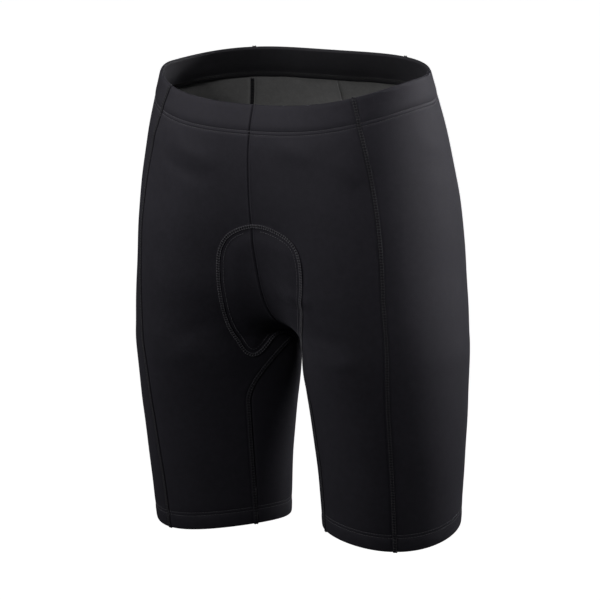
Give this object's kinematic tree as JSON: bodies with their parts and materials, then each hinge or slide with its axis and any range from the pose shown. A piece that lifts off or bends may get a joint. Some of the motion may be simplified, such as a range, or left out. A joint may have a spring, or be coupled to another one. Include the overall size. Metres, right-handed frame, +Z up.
{
  "type": "cycling shorts",
  "caption": "Close-fitting mid-thigh cycling shorts in stretch knit, filled out as worn, with a turned waistband, turned hems and a sewn-in seat pad",
  "frame": {"origin": "centre of the waist opening, level with the waist edge at the sides", "axes": "+X to the wearer's left, +Y to the wearer's back, +Z up"},
  "size_m": [0.3542, 0.2064, 0.476],
  "materials": {
    "knit": "matte stretch knit",
    "band": "matte stretch knit, turned in over elastic",
    "hem": "matte stretch knit, turned up",
    "pad": "brushed knit over foam"
  },
  "bodies": {
    "root": {"front_left": "knit", "front_right": "knit", "side_left": "knit", "side_right": "knit", "back_left": "knit", "back_right": "knit", "waistband": "band", "hem_left": "hem", "hem_right": "hem", "seat_pad": "pad"}
  },
  "joints": []
}
